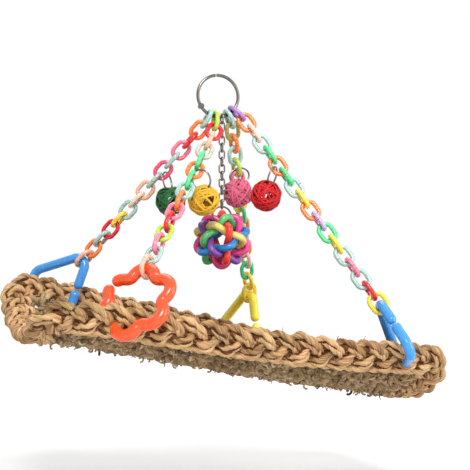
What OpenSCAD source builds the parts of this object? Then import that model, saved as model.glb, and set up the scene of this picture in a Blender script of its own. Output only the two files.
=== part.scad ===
// Hanging climbing net for cage birds: a woven grass mat slung from one steel ring
// by four chains of plastic links, with a woven ball and four wicker balls as toys.
// Millimetres, +Z up. The origin is the point inside the top of the ring where a hook carries it.

/* [Hanging ring] */
// Radius of the ring, to the middle of its wire
ring_r = 16.3; // [14:0.1:22]
// Thickness of the ring's wire
ring_wire = 2.6; // [2:0.1:3.2]
// Place of the hinge, in degrees round from the bottom of the ring
hinge_angle = -58; // [-75:1:-50]
// Diameter of the hinge's rivet
rivet_d = 1.4; // [1:0.1:1.8]
// Diameter of the hinge's round cheeks
knuckle_d = 4.4; // [3.6:0.1:5.4]

/* [Plastic chain] */
// Thickness of a chain link's wire
link_wire = 3.4; // [2.8:0.1:3.6]
// Clear length inside a chain link, before a whole number of links is fitted
link_inside = 11; // [10:0.1:13]
// Clear width inside a chain link
link_gap_w = 6.7; // [6:0.1:7.5]
// Clear length inside the link that holds a clip
end_link_inside = 12.4; // [11.5:0.1:15]
// Room in the width of that link beside the clip's bar
end_link_room = 0.8; // [0.6:0.1:2]
// Place of the steel chain, in degrees round from the bottom of the ring
toy_angle = 11; // [8:0.5:14]
// Angle between neighbouring chains round the bottom of the ring
chain_spread = 18.5; // [18:0.5:20]
// Angle that the topmost links lean forwards or backwards
top_lean = 24; // [20:1:30]
// Clearance between pieces that hang on each other
play = 0.3; // [0.2:0.05:0.4]

/* [Clips] */
// Side of a triangular clip, to the middle of its bar
clip_side = 62; // [60:0.5:66]
// Corner radius of a triangular clip, to the middle of its bar
clip_corner = 8; // [7:0.5:9]
// Thickness of a triangular clip's bar
clip_bar = 7.5; // [6.5:0.1:8]
// Width of the split through which a clip is opened
clip_split = 1; // [0.6:0.1:2]
// Thickness of the flower clip's bar
flower_bar = 8.5; // [7.5:0.1:8.8]
// Distance of a flower lobe's centre from the middle of the flower
lobe_out = 17.8; // [17:0.1:20]
// Radius of a flower lobe, to the middle of its bar
lobe_r = 9; // [8.5:0.1:10]
// Radius of the dip between two lobes, to the middle of its bar
dip_r = 5; // [4.8:0.1:5.6]

/* [Net] */
// Length of the net between the middles of its end borders
net_l = 289; // [270:1:320]
// Width of the hanging net between the middles of its long borders
net_w = 170; // [160:1:190]
// Height of the net's middle below the bottom of the hanging ring
net_drop = 158.7; // [150:0.5:180]
// Fall of the net along its length, as a share of the run
net_tilt = 0.184; // [0.12:0.002:0.22]
// Twist that lets the far border fall more than the near one
net_twist = 0.042; // [0:0.002:0.06]
// Depth that the net sags between its long borders
net_sag = 35; // [25:0.5:42]
// Thickness of the woven net
net_thick = 9; // [6:0.5:10]
// Width of the braided border
braid_w = 21; // [18:0.5:21.5]
// Thickness of the braided border
braid_t = 12; // [10:0.5:12.5]
// Corner radius of the border, to the middle of the braid
braid_corner = 17; // [15:0.5:22]

/* [Where the clips hold the net] */
// Place of the left clip along the far border, from the middle
left_hold = -112; // [-114:1:-100]
// Place of the flower clip along the near border, from the middle
front_hold = -86; // [-95:1:-80]
// Place of the yellow clip along the far border, from the middle
back_hold = 46; // [35:1:60]
// Place of the right clip along the near border, from the middle
right_hold = 112; // [104:1:114]

/* [Toys] */
// Radius of the woven plastic ball, to the middle of its hoops
ball_r = 17.2; // [16:0.1:20]
// Thickness of a hoop of the woven plastic ball
hoop_d = 5.4; // [4.5:0.1:5.6]
// How far a hoop of the plastic ball swings in and out as it weaves
hoop_wave = 3.3; // [3.2:0.05:3.6]
// Radius of a wicker ball, to the middle of its canes
wicker_r = 10.6; // [10:0.1:13]
// Width of a band of cane
cane_w = 3.6; // [2.5:0.1:3.8]
// Thickness of a band of cane
cane_t = 1.5; // [1:0.1:1.6]
// How far a cane swings in and out as it weaves
cane_wave = 1.15; // [1.1:0.05:1.4]
// Clear radius of the small steel rings that hold the toys
toy_ring_r = 7; // [6.8:0.1:8]
// Thickness of the small steel rings' wire
toy_wire = 1.4; // [1.2:0.1:1.5]
// Thickness of the steel chain's wire
steel_wire = 1.3; // [1.1:0.1:1.4]
// Clear length inside a steel chain link
steel_inside = 5.8; // [5.4:0.1:6.4]
// Clear width inside a steel chain link
steel_gap_w = 2.9; // [2.7:0.1:3.2]
// Number of links in the steel chain
steel_links = 12; // [10:1:14]
// Link of the left chain, counted from the top, that carries a wicker ball
left_ball_link = 4; // [4:2:8]
// Link of the front chain that carries a wicker ball
front_ball_link = 4; // [4:2:8]
// Link of the back chain that carries a wicker ball
back_ball_link = 3; // [3:2:9]
// Link of the right chain that carries a wicker ball
right_ball_link = 4; // [4:2:8]

/* [Hidden] */
$fn = 32;

// Directions and vector helpers
X = [1, 0, 0];
Y = [0, 1, 0];
Z = [0, 0, 1];
function unit(v) = v / norm(v);
function across(v, axis) = unit(v - (v * axis) * axis);
function turned(v, axis, a) = v * cos(a) + cross(axis, v) * sin(a) + axis * (axis * v) * (1 - cos(a));
// Angle from u to v, seen along the axis
function angle_about(u, v, axis) = atan2(cross(u, v) * axis, u * v);

// Puts a shape's own X, Y and Z along three given directions, at a point
module placed(at, ax, ay, az) {
    multmatrix([
        [ax.x, ay.x, az.x, at.x],
        [ax.y, ay.y, az.y, at.y],
        [ax.z, ay.z, az.z, at.z],
        [0, 0, 0, 1]
    ]) children();
}

// Hanging ring: its middle, and a point and a direction round it, from the bottom
ring_mid = [0, 0, -(ring_r - ring_wire / 2)];
function ring_out(a) = [sin(a), 0, -cos(a)];
function ring_along(a) = [cos(a), 0, sin(a)];
gate_top_angle = -176;
gate_tip_gap = 1.2;
knuckle_half = asin(knuckle_d / 2 / ring_r);

// A bent bar in the XZ plane, about Y, from angle a0 to a1 measured from X towards Z
module bent_bar(r, d, a0, a1) {
    rotate([90, 0, 0]) rotate([0, 0, a0])
    rotate_extrude(angle = a1 - a0, $fn = 64) translate([r, 0]) circle(d = d);
}

// Oval link in the XZ plane, standing along Z, with its middle at the origin
module oval_link(inside, gap_w, wire) {
    bend_r = (gap_w + wire) / 2;
    leg = inside - gap_w;
    union() {
        translate([0, 0, leg / 2]) bent_bar(bend_r, wire, 0, 180);
        translate([0, 0, -leg / 2]) bent_bar(bend_r, wire, 180, 360);
        for (side = [-1, 1])
            translate([side * bend_r, 0, -leg / 2]) cylinder(d = wire, h = leg);
    }
}

// Net surface: x runs along the net and y across it
half_l = net_l / 2;
half_w = net_w / 2;
net_z0 = ring_mid.z - ring_r - net_drop;
function net_z(x, y) = net_z0 - x * (net_tilt + net_twist * y / half_w)
    - net_sag * (1 - pow(abs(y) / half_w, 3));
function net_at(x, y) = [x, y, net_z(x, y)];
slope_step = 0.5;
function net_dx(x, y) = unit(net_at(x + slope_step, y) - net_at(x - slope_step, y));
function net_dy(x, y) = unit(net_at(x, y + slope_step) - net_at(x, y - slope_step));
function net_up(x, y) = unit(cross(net_dx(x, y), net_dy(x, y)));

// The four chains: left, front, back and right. Each row holds the angle of its top link
// round the ring, the lean of that link, the held point on the border and the normal of its
// clip's plane
LEFT = 0;
FRONT = 1;
BACK = 2;
RIGHT = 3;
flower_mean = lobe_out + lobe_r;
inradius = clip_side / (2 * sqrt(3));
apex_height = 2 * inradius - clip_corner;
chain_angle = [for (k = [-2, -1, 1, 2]) toy_angle + k * chain_spread];
chain_lean = [1, -1, 1, -1] * top_lean;
held_at = [net_at(left_hold, half_w), net_at(front_hold, -half_w),
    net_at(back_hold, half_w), net_at(right_hold, -half_w)];
clip_normal = [unit([0.7, 0.69, -0.2]), unit([-0.6, -0.6, 0.53]), unit([0.93, 0.37, 0]), unit([0.9, -0.2, 0.38])];
clip_thick = [clip_bar, flower_bar, clip_bar, clip_bar];

// Top links hang on the ring's wire and lean about it
top_bend = link_inside + link_wire;
function ring_point(i) = ring_mid + ring_out(chain_angle[i]) * ring_r;
function top_dir(i) = turned(ring_out(chain_angle[i]), ring_along(chain_angle[i]), chain_lean[i]);
top_above = ring_wire / 2 + play + link_wire / 2;
function top_start(i) = ring_point(i) - top_dir(i) * top_above;
function top_end(i) = top_start(i) + top_dir(i) * top_bend;
// The bar at the foot of a top link runs across it
function top_bar_dir(i) = unit(cross(top_dir(i), ring_along(chain_angle[i])));

// Clips: the way a clip stands, the bar that its chain pulls on and the pull's direction
function clip_up(i) = across(top_end(i) - held_at[i], clip_normal[i]);
function clip_side_dir(i) = cross(clip_normal[i], clip_up(i));
// The border lies in the clip: on a triangle's lower bar, or on the two dips of the flower's foot
function border_out(i) = net_dy(held_at[i].x, held_at[i].y) * sign(held_at[i].y);
function border_up(i) = net_up(held_at[i].x, held_at[i].y);
function seat_way(i) = unit(cross(clip_side_dir(i), net_dx(held_at[i].x, held_at[i].y)));
function border_half(i) = norm([seat_way(i) * border_out(i) * braid_w, seat_way(i) * border_up(i) * braid_t]) / 2;
function triangle_lift(i) = inradius - (border_half(i) + clip_bar / 2 + play) / abs(seat_way(i) * clip_up(i));
flower_seat_share = 0.37;
function flower_lift() = (dip_out - dip_r) * cos(half_turn) - flower_bar / 2 - play
    - braid_t / 2 - flower_seat_share * braid_w / 2;
function lift(i) = i == FRONT ? flower_lift() : triangle_lift(i);
function clip_mid(i) = held_at[i] + clip_up(i) * lift(i);
function clip_top(i) = clip_mid(i) + clip_up(i) * (i == FRONT ? flower_mean : apex_height);
function pull(i) = unit(top_end(i) - clip_top(i));
function end_normal(i) = across(clip_side_dir(i), pull(i));

// A whole number of links fills each chain: run is the length they share
function first_normal(i) = across(top_bar_dir(i), pull(i));
function first_bar_dir(i) = cross(pull(i), first_normal(i));
function hook_rise(i) = (link_wire + play) / abs(pull(i) * unit(cross(top_bar_dir(i), first_bar_dir(i))));
end_bend = end_link_inside + link_wire;
end_below = [for (t = clip_thick) t / 2 + play + link_wire / 2];
function run(i) = norm(top_end(i) - clip_top(i)) + hook_rise(i) + end_below[i] - end_bend;
function link_count(i) = round(run(i) / (link_inside - play));
function pitch(i) = run(i) / link_count(i);
function chain_inside(i) = pitch(i) + play;
// The links turn a quarter each, and a little more or less so that the last one meets the clip's link
function wrapped(a) = a - 180 * round(a / 180);
function extra_turn(i) = wrapped(angle_about(first_normal(i), end_normal(i), pull(i)) - 90 * link_count(i))
    / link_count(i);
function link_normal(i, j) = turned(first_normal(i), pull(i), (90 + extra_turn(i)) * j);
function link_start(i, j) = top_end(i) + pull(i) * (hook_rise(i) - j * pitch(i));
function link_mid(i, j) = link_start(i, j) - pull(i) * (chain_inside(i) + link_wire) / 2;

// Ring of a chain: the hinged gate on the left, and the body that carries the chains
cheek_t = 0.9;
tongue_t = 1.2;
cheek_gap = 0.15;
hinge_at = ring_mid + ring_out(hinge_angle) * ring_r;
rivet_play = 0.05;
rivet_seat = 0.02;
head_t = 0.5;
cheek_y = tongue_t / 2 + cheek_gap;

// A flat round disc about Y, from y0 to y1
module disc(d, y0, y1) {
    translate([0, y1, 0]) rotate([90, 0, 0]) cylinder(d = d, h = y1 - y0);
}

// Wire of the ring between two angles round from its bottom
module ring_wire_arc(a0, a1) {
    translate(ring_mid) bent_bar(ring_r, ring_wire, a0 - 90, a1 - 90);
}

module ring_body() {
    color("#b9b7b0")
    difference() {
        union() {
            ring_wire_arc(hinge_angle, 360 + gate_top_angle);
            for (side = [-1, 1])
                translate(hinge_at)
                disc(knuckle_d, min(side * cheek_y, side * (cheek_y + cheek_t)),
                    max(side * cheek_y, side * (cheek_y + cheek_t)));
        }
        translate(hinge_at) disc(knuckle_d + 2 * play, -cheek_y, cheek_y);
        translate(hinge_at) disc(rivet_d + 2 * rivet_seat, -knuckle_d, knuckle_d);
    }
}

module ring_gate() {
    tip_angle = gate_tip_gap / ring_r * 180 / PI;
    color("#b9b7b0")
    difference() {
        union() {
            difference() {
                ring_wire_arc(gate_top_angle + tip_angle, hinge_angle);
                translate(hinge_at) disc(knuckle_d + 2 * play, -knuckle_d, -tongue_t / 2);
                translate(hinge_at) disc(knuckle_d + 2 * play, tongue_t / 2, knuckle_d);
            }
            translate(hinge_at) disc(knuckle_d, -tongue_t / 2, tongue_t / 2);
        }
        translate(hinge_at) disc(rivet_d + 2 * rivet_play, -knuckle_d, knuckle_d);
    }
}

module ring_rivet() {
    head_d = rivet_d + 1.4;
    shank = cheek_y + cheek_t + rivet_seat;
    color("#9a9890")
    translate(hinge_at)
    union() {
        disc(rivet_d, -shank, shank);
        disc(head_d, shank, shank + head_t);
        disc(head_d, -shank - head_t, -shank);
    }
}

// Plastic chains
LINK_COLOURS = ["#a9d3cc", "#f08a4b", "#d4213c", "#f58fae", "#e9c33a", "#55d98a", "#b98bd0", "#f3dcc9"];

module top_link(i) {
    mid = (top_start(i) + top_end(i)) / 2;
    color(LINK_COLOURS[i])
    placed(mid, top_bar_dir(i), cross(-top_dir(i), top_bar_dir(i)), -top_dir(i))
    oval_link(link_inside, link_gap_w, link_wire);
}

module chain(i) {
    for (j = [0 : link_count(i) - 1])
        color(LINK_COLOURS[(3 * j + i) % len(LINK_COLOURS)])
        placed(link_mid(i, j), cross(link_normal(i, j), pull(i)), link_normal(i, j), pull(i))
        oval_link(chain_inside(i), link_gap_w, link_wire);
}

module end_link(i) {
    mid = clip_top(i) + pull(i) * (end_bend / 2 - end_below[i]);
    color(LINK_COLOURS[i + 2])
    placed(mid, cross(end_normal(i), pull(i)), end_normal(i), pull(i))
    oval_link(end_link_inside, clip_thick[i] + end_link_room, link_wire);
}

// Small step where a clip's bends run into its bars, and how far the thinner one reaches in
seam = 0.05;
seam_in = 0.4;

// Split triangular clip in the XZ plane, its middle at the origin and its held corner up
module triangle_clip() {
    corner_out = 2 * inradius - 2 * clip_corner;
    bar = clip_side - 2 * sqrt(3) * clip_corner + 2 * seam_in;
    bar_d = clip_bar - 2 * seam;
    open = clip_bar + clip_split;
    stub = (bar - open) / 2;
    union() {
        for (k = [0 : 2])
            rotate([0, 120 * k, 0]) translate([0, 0, corner_out]) bent_bar(clip_corner, clip_bar, 30, 150);
        for (k = [0 : 1])
            rotate([0, 120 * k, 0]) translate([-bar / 2, 0, -inradius]) rotate([0, 90, 0])
            cylinder(d = bar_d, h = bar);
        for (side = [-1, 1])
            rotate([0, 240, 0]) translate([side * open / 2, 0, -inradius]) rotate([0, side * 90, 0]) {
                cylinder(d = bar_d, h = stub);
                sphere(d = bar_d - 2 * seam);
            }
    }
}

// Split flower clip in the XZ plane, its middle at the origin and one lobe up
lobes = 6;
half_turn = 180 / lobes;
// Distance of a dip's centre from the middle, so that lobes and dips run into each other
dip_out = lobe_out * cos(half_turn) + sqrt(pow(lobe_r + dip_r, 2) - pow(lobe_out * sin(half_turn), 2));
lobe_half = atan2(dip_out * sin(half_turn), dip_out * cos(half_turn) - lobe_out);
dip_half = lobe_half - half_turn + seam_in / dip_r * 180 / PI;
split_half = (flower_bar + clip_split) / 2 / lobe_r * 180 / PI;
split_lobe = 5;

module flower_lobe(split) {
    if (split) {
        for (side = [0, 180])
            rotate([0, 0, side]) {
                bent_bar(lobe_r, flower_bar, 90 - lobe_half, 90 - split_half);
                rotate([0, split_half, 0]) translate([0, 0, lobe_r]) rotate([0, 90, 0])
                sphere(d = flower_bar - 4 * seam);
            }
    } else bent_bar(lobe_r, flower_bar, 90 - lobe_half, 90 + lobe_half);
}

module flower_clip() {
    union() {
        for (k = [0 : lobes - 1])
            rotate([0, -2 * half_turn * k, 0]) translate([0, 0, lobe_out]) flower_lobe(k == split_lobe);
        for (k = [0 : lobes - 1])
            rotate([0, -half_turn * (2 * k + 1), 0]) translate([0, 0, dip_out])
            bent_bar(dip_r, flower_bar - 2 * seam, 270 - dip_half, 270 + dip_half);
    }
}

module clip(i) {
    placed(clip_mid(i), clip_side_dir(i), clip_normal[i], clip_up(i))
    if (i == FRONT) flower_clip();
    else triangle_clip();
}

// Faces of a closed tube whose rings of points follow each other round a loop
function loop_faces(rings, sides) = [
    for (r = [0 : rings - 1], s = [0 : sides - 1], half = [0, 1])
        let (r2 = (r + 1) % rings, s2 = (s + 1) % sides)
        half == 0 ? [r * sides + s, r2 * sides + s, r2 * sides + s2]
            : [r * sides + s, r2 * sides + s2, r * sides + s2]];

// Net border: a braid as a flat oval tube along a rounded outline
border_sides = 10;
corner_steps = 5;
long_steps = 22;
short_steps = 12;
straight_x = half_l - braid_corner;
straight_y = half_w - braid_corner;
function edge_run(from, to, steps, out) = [for (k = [0 : steps - 1]) [from + (to - from) * k / steps, out]];
function corner_run(mid, a0) = [
    for (k = [0 : corner_steps - 1])
        let (a = a0 + 90 * k / corner_steps, out = [cos(a), sin(a)])
        [mid + out * braid_corner, out]];
outline = concat(
    edge_run([-straight_x, -half_w], [straight_x, -half_w], long_steps, [0, -1]),
    corner_run([straight_x, -straight_y], -90),
    edge_run([half_l, -straight_y], [half_l, straight_y], short_steps, [1, 0]),
    corner_run([straight_x, straight_y], 0),
    edge_run([straight_x, half_w], [-straight_x, half_w], long_steps, [0, 1]),
    corner_run([-straight_x, straight_y], 90),
    edge_run([-half_l, straight_y], [-half_l, -straight_y], short_steps, [-1, 0]),
    corner_run([-straight_x, -straight_y], 180));
function border_ring(p, out) =
    let (out3 = unit(net_dx(p.x, p.y) * out.x + net_dy(p.x, p.y) * out.y), up = net_up(p.x, p.y))
    [for (s = [0 : border_sides - 1])
        let (a = 360 * s / border_sides)
        net_at(p.x, p.y) + out3 * braid_w / 2 * cos(a) + up * braid_t / 2 * sin(a)];

module net_border() {
    rings = [for (e = outline) border_ring(e[0], e[1])];
    color("#b8935f")
    polyhedron([for (ring = rings, p = ring) p], loop_faces(len(rings), border_sides), convexity = 10);
}

// Net body: the woven mat inside the border, with openings beside it where the clips pass
seat_gap = braid_w / 2 + play + 0.45;
body_l = 2 * (half_l - seat_gap);
body_w = 2 * (half_w - seat_gap * cos(atan(3 * net_sag / half_w)));
columns = 22;
rows = 12;
function column_x(i) = body_l * (i / columns - 0.5);
function row_y(j) = body_w * (j / rows - 0.5);
// How far a clip's bar runs from the clip's middle, at an angle from its held end
function triangle_reach(a) = min(apex_height, inradius / cos(a - 120 * floor(a / 120) - 60));
function flower_reach(a) = flower_mean - (flower_mean - dip_out + dip_r) * (1 - cos(lobes * a)) / 2;
function clip_reach(k, a) = k == FRONT ? flower_reach(a) : triangle_reach(a);
bar_step = 10;
clip_points = [for (k = [LEFT : RIGHT]) [for (a = [0 : bar_step : 359])
    clip_mid(k) + (clip_side_dir(k) * sin(a) + clip_up(k) * cos(a)) * clip_reach(k, a)]];
// The mat stays open in a block of cells where a clip's bar comes near it
function cell_mid(i, j) = [column_x(i + 0.5), row_y(j + 0.5)];
function is_hit(k, i, j) =
    let (c = cell_mid(i, j), room = clip_thick[k] / 2 + 2 * play,
        dx = net_dx(c.x, c.y), dy = net_dy(c.x, c.y), up = net_up(c.x, c.y),
        half_x = body_l / columns / 2 + room, half_y = body_w / rows / dy.y / 2 + room,
        half_up = net_thick / 2 + room)
    len([for (p = clip_points[k]) let (v = p - net_at(c.x, c.y))
        if (abs(v * dx) < half_x && abs(v * dy) < half_y && abs(v * up) < half_up) 1]) > 0;
hits = [for (k = [LEFT : RIGHT]) [for (i = [0 : columns - 1], j = [0 : rows - 1]) if (is_hit(k, i, j)) [i, j]]];
open_from = [for (h = hits) len(h) == 0 ? [columns, rows] : [min([for (c = h) c.x]), min([for (c = h) c.y])]];
open_to = [for (h = hits) len(h) == 0 ? [-1, -1] : [max([for (c = h) c.x]), max([for (c = h) c.y])]];
// A block that comes within one cell of the mat's side runs out to it
function first_open(n) = n < 2 ? 0 : n;
function last_open(n, count) = n > count - 3 ? count - 1 : n;
function is_in_block(k, i, j) = i >= first_open(open_from[k].x) && i <= last_open(open_to[k].x, columns)
    && j >= first_open(open_from[k].y) && j <= last_open(open_to[k].y, rows);
function is_clip_opening(i, j) = len([for (k = [LEFT : RIGHT]) if (is_in_block(k, i, j)) k]) > 0;
function is_corner(i, j) = (i == 0 || i == columns - 1) && (j == 0 || j == rows - 1);
function is_woven(i, j) = i >= 0 && i < columns && j >= 0 && j < rows
    && !is_corner(i, j) && !is_clip_opening(i, j);
layer = (columns + 1) * (rows + 1);
function grid(i, j, top) = i * (rows + 1) + j + (top ? layer : 0);
function quad(a, b, c, d) = [[a, b, c], [a, c, d]];
function cell_faces(i, j) = concat(
    quad(grid(i, j, true), grid(i, j + 1, true), grid(i + 1, j + 1, true), grid(i + 1, j, true)),
    quad(grid(i, j, false), grid(i + 1, j, false), grid(i + 1, j + 1, false), grid(i, j + 1, false)),
    is_woven(i - 1, j) ? []
        : quad(grid(i, j, false), grid(i, j + 1, false), grid(i, j + 1, true), grid(i, j, true)),
    is_woven(i + 1, j) ? []
        : quad(grid(i + 1, j + 1, false), grid(i + 1, j, false), grid(i + 1, j, true), grid(i + 1, j + 1, true)),
    is_woven(i, j - 1) ? []
        : quad(grid(i + 1, j, false), grid(i, j, false), grid(i, j, true), grid(i + 1, j, true)),
    is_woven(i, j + 1) ? []
        : quad(grid(i, j + 1, false), grid(i + 1, j + 1, false), grid(i + 1, j + 1, true), grid(i, j + 1, true)));

module net_body() {
    points = [for (side = [-1, 1], i = [0 : columns], j = [0 : rows])
        let (x = column_x(i), y = row_y(j)) net_at(x, y) + net_up(x, y) * side * net_thick / 2];
    faces = [for (i = [0 : columns - 1], j = [0 : rows - 1]) if (is_woven(i, j)) each cell_faces(i, j)];
    color("#a98556")
    polyhedron(points, faces, convexity = 10);
}

// A hoop that weaves in and out as it goes round: waves is the number of crests
module woven_hoop(r, wave, waves, turn, rings, section) {
    points = [for (k = [0 : rings - 1], p = section)
        let (a = 360 * k / rings, reach = r + wave * cos(waves * (a - turn)) + p.x)
        [reach * cos(a), reach * sin(a), p.y]];
    polyhedron(points, loop_faces(rings, len(section)), convexity = 6);
}

// Steel chain for the woven ball, hanging straight down among the plastic chains
toy_point = ring_mid + ring_out(toy_angle) * ring_r;
ring_half = ring_wire / 2 / cos(toy_angle);
jump_r = ring_half + play + steel_wire / 2;
// Room in the chain's jump ring for the swing of the net
jump_room = 1.2;
jump_gap_w = ring_wire + 2 * jump_room;
jump_inside = ceil(10 * (2 * ring_half + 2 * play + 3.4)) / 10;
jump_mid = toy_point + Z * (jump_r - (jump_inside + steel_wire) / 2);
steel_pitch = steel_inside - play;
steel_top = jump_mid.z - (jump_inside + steel_wire) / 2 + steel_wire + play;
function steel_mid(j) = [toy_point.x, toy_point.y, steel_top - j * steel_pitch - (steel_inside + steel_wire) / 2];
steel_end = steel_mid(steel_links - 1).z - (steel_inside + steel_wire) / 2;
toy_bend = toy_ring_r + toy_wire / 2;
// The ball's ring hangs in the last link, and the ball on its ring by a crossing of two hoops
ball_ring_mid = [toy_point.x, toy_point.y, steel_end + steel_wire / 2 + play + toy_wire / 2 - toy_bend];
ball_mid = ball_ring_mid - Z * (toy_bend - toy_wire / 2 - play + ball_r - hoop_wave - hoop_d / 2);

module toy_jump_ring() {
    color("#a5a39c")
    placed(jump_mid, Y, -X, Z)
    oval_link(jump_inside, jump_gap_w, steel_wire);
}

module toy_chain() {
    color("#a5a39c")
    for (j = [0 : steel_links - 1])
        translate(steel_mid(j)) rotate([0, 0, 90 * (j % 2)])
        oval_link(steel_inside, steel_gap_w, steel_wire);
}

// A small round ring in its own XZ plane
module toy_ring() {
    rotate([90, 0, 0]) rotate_extrude($fn = 64) translate([toy_bend, 0]) circle(d = toy_wire);
}

steel_end_turn = 90 * (steel_links % 2);
module toy_ball_ring() {
    color("#a5a39c")
    translate(ball_ring_mid) rotate([0, 0, steel_end_turn]) toy_ring();
}

// Woven plastic ball: six hoops round the six axes through the corners of an icosahedron.
// Its own Z is one of those axes, and a crossing of two hoops is turned to the top
axis_apart = atan(2);
crossing_turn = 18;
hoop_rings = 40;
hoop_sides = 6;
hoop_section = [for (s = [0 : hoop_sides - 1]) [cos(360 * s / hoop_sides), sin(360 * s / hoop_sides)] * hoop_d / 2];
HOOP_COLOURS = ["#e6352b", "#57c46c", "#7d3fa0", "#efe07a", "#ee4f9b", "#1f86c9"];

module ball_hoop(k) {
    color(HOOP_COLOURS[k])
    translate(ball_mid) rotate([0, 0, steel_end_turn])
    rotate([0, -90, 0]) rotate([0, 0, -crossing_turn])
    rotate([0, 0, 72 * k])
    rotate(a = k == 0 ? 0 : 180, v = [sin(axis_apart / 2), 0, cos(axis_apart / 2)])
    woven_hoop(ball_r, hoop_wave, 5, crossing_turn, hoop_rings, hoop_section);
}

// Wicker balls: four bands of cane round the diagonals of a cube, a crossing at the top.
// Each hangs by a small ring round the lower leg of one chain link
cane_rings = 30;
cane_section = [[-cane_t, -cane_w], [cane_t, -cane_w], [cane_t, cane_w], [-cane_t, cane_w]] / 2;
ball_link = [left_ball_link, front_ball_link, back_ball_link, right_ball_link];
function lower_side(i) = let (s = cross(link_normal(i, ball_link[i]), pull(i))) s.z < 0 ? s : -s;
leg_out = (link_gap_w + link_wire) / 2;
leg_rest = link_wire / 2 + toy_wire / 2 + play;
// A ball beside a steep chain leans on it: the least angle between its hang and the chain
hang_angle = 56;
function hang_lean(i) = max(0, hang_angle - acos(pull(i).z));
function hang_dir(i) = unit([pull(i).x, pull(i).y, 0]) * sin(hang_lean(i)) - Z * cos(hang_lean(i));
function hang_share(i) = hang_dir(i) * pull(i);
function rest_rise(i) = leg_rest / sqrt(1 - pow(hang_share(i), 2));
function leg_at(i) = link_mid(i, ball_link[i]) + lower_side(i) * leg_out + pull(i) * rest_rise(i) * hang_share(i);
function ring_across(i) = unit(cross(Z, pull(i)));
function wicker_ring_mid(i) = leg_at(i) + hang_dir(i) * (toy_bend - rest_rise(i));
wicker_drop = toy_ring_r - play + wicker_r - cane_wave - cane_t / 2;
function wicker_mid(i) = wicker_ring_mid(i) + hang_dir(i) * wicker_drop;

module wicker_ring(i) {
    color("#a5a39c")
    placed(wicker_ring_mid(i), ring_across(i), cross(-hang_dir(i), ring_across(i)), -hang_dir(i)) toy_ring();
}

// One band: its plane's normal is a cube diagonal, and it starts at a crossing
diagonal = unit([1, 1, 1]);
band_start = unit([1, -1, 0]);
module wicker_ball(i, colour) {
    color(colour)
    placed(wicker_mid(i), ring_across(i), cross(-hang_dir(i), ring_across(i)), -hang_dir(i))
    rotate([0, 0, 90]) rotate([0, -90, 0]) rotate([0, 0, 45])
    for (half_turn_about = [[0, 0, 0], [180, 0, 0], [0, 180, 0], [0, 0, 180]])
        rotate(half_turn_about)
        placed([0, 0, 0], band_start, cross(diagonal, band_start), diagonal)
        woven_hoop(wicker_r, cane_wave, 3, 0, cane_rings, cane_section);
}

module clip_left() { color("#3f8fd6") clip(LEFT); }
module clip_front() { color("#ff5a2e") clip(FRONT); }
module clip_back() { color("#fdd21f") clip(BACK); }
module clip_right() { color("#3f8fd6") clip(RIGHT); }

SIDES = ["left", "front", "back", "right"];
WICKER = ["green", "yellow", "pink", "red"];
WICKER_COLOURS = ["#14532d", "#f0b323", "#ec6f94", "#d8182c"];
HOOPS = ["red", "green", "purple", "yellow", "pink", "blue"];

ring_body();
ring_gate();
ring_rivet();
clip_left();
clip_front();
clip_back();
clip_right();
net_body();
net_border();
toy_jump_ring();
toy_chain();
toy_ball_ring();
for (i = [LEFT : RIGHT]) {
    top_link(i);
    chain(i);
    end_link(i);
    wicker_ring(i);
    wicker_ball(i, WICKER_COLOURS[i]);
}
for (k = [0 : len(HOOPS) - 1])
    ball_hoop(k);
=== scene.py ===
import math

import bpy
import numpy as np
from mathutils import Matrix, Vector


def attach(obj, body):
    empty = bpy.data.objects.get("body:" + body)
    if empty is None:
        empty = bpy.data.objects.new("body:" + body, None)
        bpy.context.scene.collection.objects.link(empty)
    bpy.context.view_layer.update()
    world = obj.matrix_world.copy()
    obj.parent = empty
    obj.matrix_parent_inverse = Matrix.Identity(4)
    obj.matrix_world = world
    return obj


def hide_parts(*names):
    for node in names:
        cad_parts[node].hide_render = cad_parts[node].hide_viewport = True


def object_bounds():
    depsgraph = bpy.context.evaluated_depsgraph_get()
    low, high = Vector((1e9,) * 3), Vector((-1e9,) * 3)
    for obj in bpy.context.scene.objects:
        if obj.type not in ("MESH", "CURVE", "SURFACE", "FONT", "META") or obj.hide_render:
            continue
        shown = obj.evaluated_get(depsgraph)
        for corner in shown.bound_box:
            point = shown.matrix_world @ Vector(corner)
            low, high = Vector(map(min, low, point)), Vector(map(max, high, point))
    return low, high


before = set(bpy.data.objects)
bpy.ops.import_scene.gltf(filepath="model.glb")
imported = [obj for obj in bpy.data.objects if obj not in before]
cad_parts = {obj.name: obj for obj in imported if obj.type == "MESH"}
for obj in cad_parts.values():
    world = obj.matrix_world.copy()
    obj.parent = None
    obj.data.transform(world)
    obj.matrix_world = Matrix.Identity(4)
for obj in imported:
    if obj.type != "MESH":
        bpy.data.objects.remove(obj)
cad_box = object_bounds()
scene = bpy.context.scene
MM = 0.001

# Sizes of the solids, in millimetres
RING_R, RING_WIRE, PLAY = 16.3, 2.6, 0.3
LINK_WIRE, LINK_INSIDE, LINK_GAP_W, END_INSIDE = 3.4, 11.0, 6.7, 12.4
TOY_ANGLE, CHAIN_SPREAD, TOP_LEAN = 11.0, 18.5, 24.0
CLIP_SIDE, CLIP_CORNER, CLIP_BAR, FLOWER_BAR = 62.0, 8.0, 7.5, 8.5
LOBE_OUT, LOBE_R, DIP_R, FLOWER_SEAT = 17.8, 9.0, 5.0, 0.37
NET_L, NET_W, NET_DROP = 289.0, 170.0, 158.7
NET_TILT, NET_TWIST, NET_SAG = 0.184, 0.042, 35.0
BRAID_W, BRAID_T, BRAID_CORNER = 21.0, 12.0, 17.0
HALF_L, HALF_W = NET_L / 2, NET_W / 2
RING_MID = np.array([0, 0, -(RING_R - RING_WIRE / 2)])
NET_Z0 = RING_MID[2] - RING_R - NET_DROP
SIDES = ["left", "front", "back", "right"]

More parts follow.
